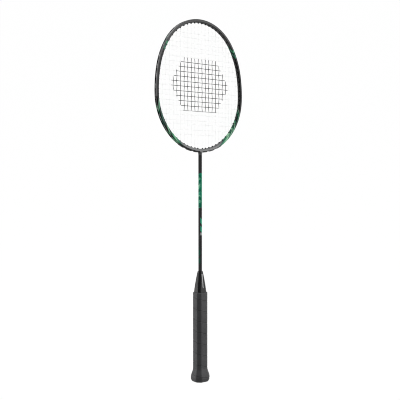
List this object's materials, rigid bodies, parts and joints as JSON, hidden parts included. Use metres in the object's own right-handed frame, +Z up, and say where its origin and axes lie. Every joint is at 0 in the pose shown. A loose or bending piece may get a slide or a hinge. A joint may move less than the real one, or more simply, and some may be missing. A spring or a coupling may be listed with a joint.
{
  "type": "badminton racket",
  "caption": "Badminton racket with an oval strung head, thin straight shaft, tapered cone cap and cushioned octagonal grip with a flared butt.",
  "frame": {"origin": "centre of the butt's end face", "axes": "+Z up the shaft to the head, +X across the head, +Y through the strings; the player's front face is -Y"},
  "size_m": [0.202, 0.0304, 0.675],
  "materials": {
    "frame_lacquer": "clear-lacquered carbon composite, black with green and silver areas",
    "shaft_lacquer": "clear-lacquered carbon tube, black with green bands",
    "insert_metal": "plain machined",
    "cone_plastic": "moulded, faceted",
    "core_wood": "bare light wood",
    "grip_cushion": "near-matte cushioned synthetic leather",
    "cap_plastic": "fine moulded grain",
    "staple_steel": "plain wire",
    "grommet_nylon": "moulded nylon",
    "string_nylon": "coated multifilament"
  },
  "bodies": {
    "root": {"butt_cap": "cap_plastic", "cheek_grommets_left": "grommet_nylon", "cheek_grommets_right": "grommet_nylon", "cone_cap": "cone_plastic", "cross_knot_bottom": "string_nylon", "cross_knot_top": "string_nylon", "cross_string": "string_nylon", "crown_grommets_left": "grommet_nylon", "crown_grommets_right": "grommet_nylon", "grip_staple": "staple_steel", "grip_wrap": "grip_cushion", "handle_core": "core_wood", "head_frame": "frame_lacquer", "main_knot_left": "string_nylon", "main_knot_right": "string_nylon", "main_string": "string_nylon", "shaft": "shaft_lacquer", "shoulder_grommets_left": "grommet_nylon", "shoulder_grommets_right": "grommet_nylon", "side_grommets_left": "grommet_nylon", "side_grommets_right": "grommet_nylon", "t_joint": "insert_metal", "twin_grommet_left_1": "grommet_nylon", "twin_grommet_left_2": "grommet_nylon", "twin_grommet_left_3": "grommet_nylon", "twin_grommet_right_1": "grommet_nylon", "twin_grommet_right_2": "grommet_nylon", "twin_grommet_right_3": "grommet_nylon"}
  },
  "joints": []
}
